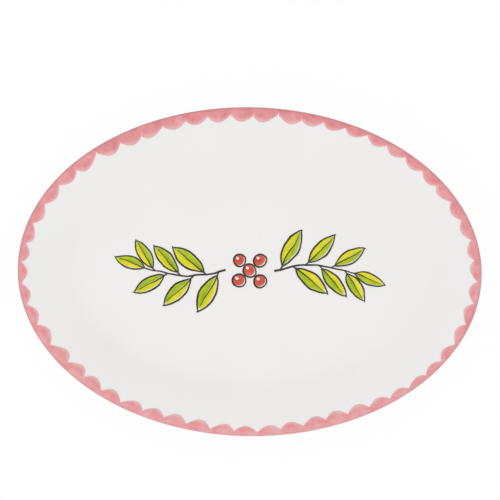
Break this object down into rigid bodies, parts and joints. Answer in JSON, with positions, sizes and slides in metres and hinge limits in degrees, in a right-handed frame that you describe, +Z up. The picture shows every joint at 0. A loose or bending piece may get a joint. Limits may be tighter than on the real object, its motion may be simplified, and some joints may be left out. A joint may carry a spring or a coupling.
{
  "type": "oval serving plate",
  "caption": "Oval glazed ceramic serving plate with a flat floor, a flared wall, a rounded lip with a brushed scalloped border, and a foot ring, for serving asparagus or other food.",
  "frame": {"origin": "centre of the foot ring's bearing face, on the table", "axes": "+X along the plate's long axis, +Y across it, +Z up out of the dish"},
  "size_m": [0.355, 0.255, 0.027],
  "materials": {
    "bare_clay": "fired white earthenware, ground and unglazed at the foot",
    "white_glaze": "glossy white glaze, fired on",
    "pink_colour": "pink ceramic colour, brushed by hand and fired on",
    "lime_colour": "yellow-green printed colour, fired on",
    "green_colour": "green printed colour, fired on",
    "red_colour": "coral red printed colour, fired on",
    "dark_colour": "dark printed line colour, fired on"
  },
  "bodies": {
    "root": {"clay_body": "bare_clay", "upper_glaze": "white_glaze", "underside_glaze": "white_glaze", "lip_line": "pink_colour", "rim_scallops": "pink_colour", "lime_ink": "lime_colour", "green_ink": "green_colour", "red_ink": "red_colour", "line_ink": "dark_colour"}
  },
  "joints": []
}
